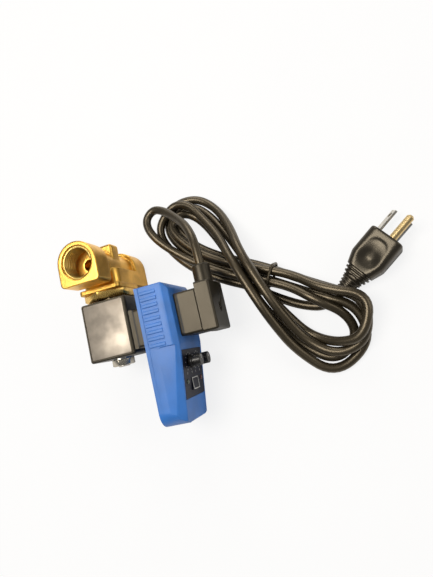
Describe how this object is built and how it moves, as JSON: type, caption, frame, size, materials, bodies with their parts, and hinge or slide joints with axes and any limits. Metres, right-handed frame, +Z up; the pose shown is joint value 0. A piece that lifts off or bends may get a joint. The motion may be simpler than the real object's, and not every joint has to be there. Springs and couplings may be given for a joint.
{
  "type": "timed drain valve",
  "caption": "Solenoid drain valve of brass with a clip-on cycle timer, a cord plug, a hanked mains cord and a moulded earthed plug.",
  "frame": {"origin": "on the table under the middle of the valve and its timer, measured without the cord and the mains plug", "axes": "+Z up from the table; +Y from the far end of the timer case to the brass body; +X from the coil through the timer to the cord plug"},
  "size_m": [0.2161, 0.1637, 0.0725],
  "materials": {
    "brass": "cast and machined, satin",
    "steel": "plated",
    "copper": "bare copper",
    "black_rubber": "matt",
    "black_plastic": "moulded, matt",
    "natural_plastic": "moulded, matt",
    "blue_plastic": "moulded, satin",
    "blue_plastic_dark": "moulded",
    "panel_black": "smooth film",
    "board_green": "lacquered board",
    "lamp_green": "clear lens",
    "lamp_red": "clear lens",
    "cord_black": "moulded, satin"
  },
  "bodies": {
    "valve": {"valve_body": "brass", "bonnet": "brass", "bonnet_o_ring": "black_rubber", "armature_tube": "steel", "fixed_core": "steel", "shading_ring": "copper", "plunger_spring": "steel", "coil_housing": "black_plastic", "coil_yoke": "steel", "coil_bobbin": "natural_plastic", "coil_winding": "copper", "coil_terminals": "steel", "coil_gasket": "black_rubber", "coil_socket": "black_plastic", "lock_washer": "steel", "coil_nut": "steel", "timer_housing": "blue_plastic", "timer_back_cover": "blue_plastic", "case_screws": "steel", "control_panel": "panel_black", "circuit_board": "board_green", "interval_potentiometer": "blue_plastic_dark", "duration_potentiometer": "blue_plastic_dark", "test_switch": "black_plastic", "power_lamp": "lamp_green", "valve_lamp": "lamp_red", "inlet_base": "black_plastic", "inlet_terminals": "steel", "plug_gasket": "black_rubber", "plug_hood": "black_plastic", "contact_block": "natural_plastic", "plug_screw": "steel", "cord_lead": "cord_black", "cord_hank": "cord_black", "cord_tail": "cord_black", "cord_tie": "cord_black", "mains_plug": "cord_black", "mains_relief": "cord_black", "mains_blades": "steel", "ground_pin": "brass"},
    "plunger": {"plunger": "steel", "plunger_seal": "black_rubber"},
    "interval_knob": {"interval_knob": "black_plastic"},
    "duration_knob": {"duration_knob": "black_plastic"},
    "test_button": {"test_button": "panel_black"}
  },
  "joints": [
    {"name": "plunger_lift", "type": "slide", "parent": "valve", "child": "plunger", "axis": [0, -0.9904, -0.1381], "range_m": [0, 0.0025], "stiffness_N_per_m": 200, "springref_m": -0.01, "deforming": ["plunger_spring"]},
    {"name": "interval_turn", "type": "hinge", "parent": "valve", "child": "interval_knob", "pos_m": [0.02565, -0.02858, 0.03312], "axis": [1, 0, 0], "range_deg": [-150, 150]},
    {"name": "duration_turn", "type": "hinge", "parent": "valve", "child": "duration_knob", "pos_m": [0.02565, -0.02659, 0.01886], "axis": [1, 0, 0], "range_deg": [-150, 150]},
    {"name": "test_press", "type": "slide", "parent": "valve", "child": "test_button", "axis": [-1, 0, 0], "range_m": [0, 0.0005], "stiffness_N_per_m": 600}
  ]
}
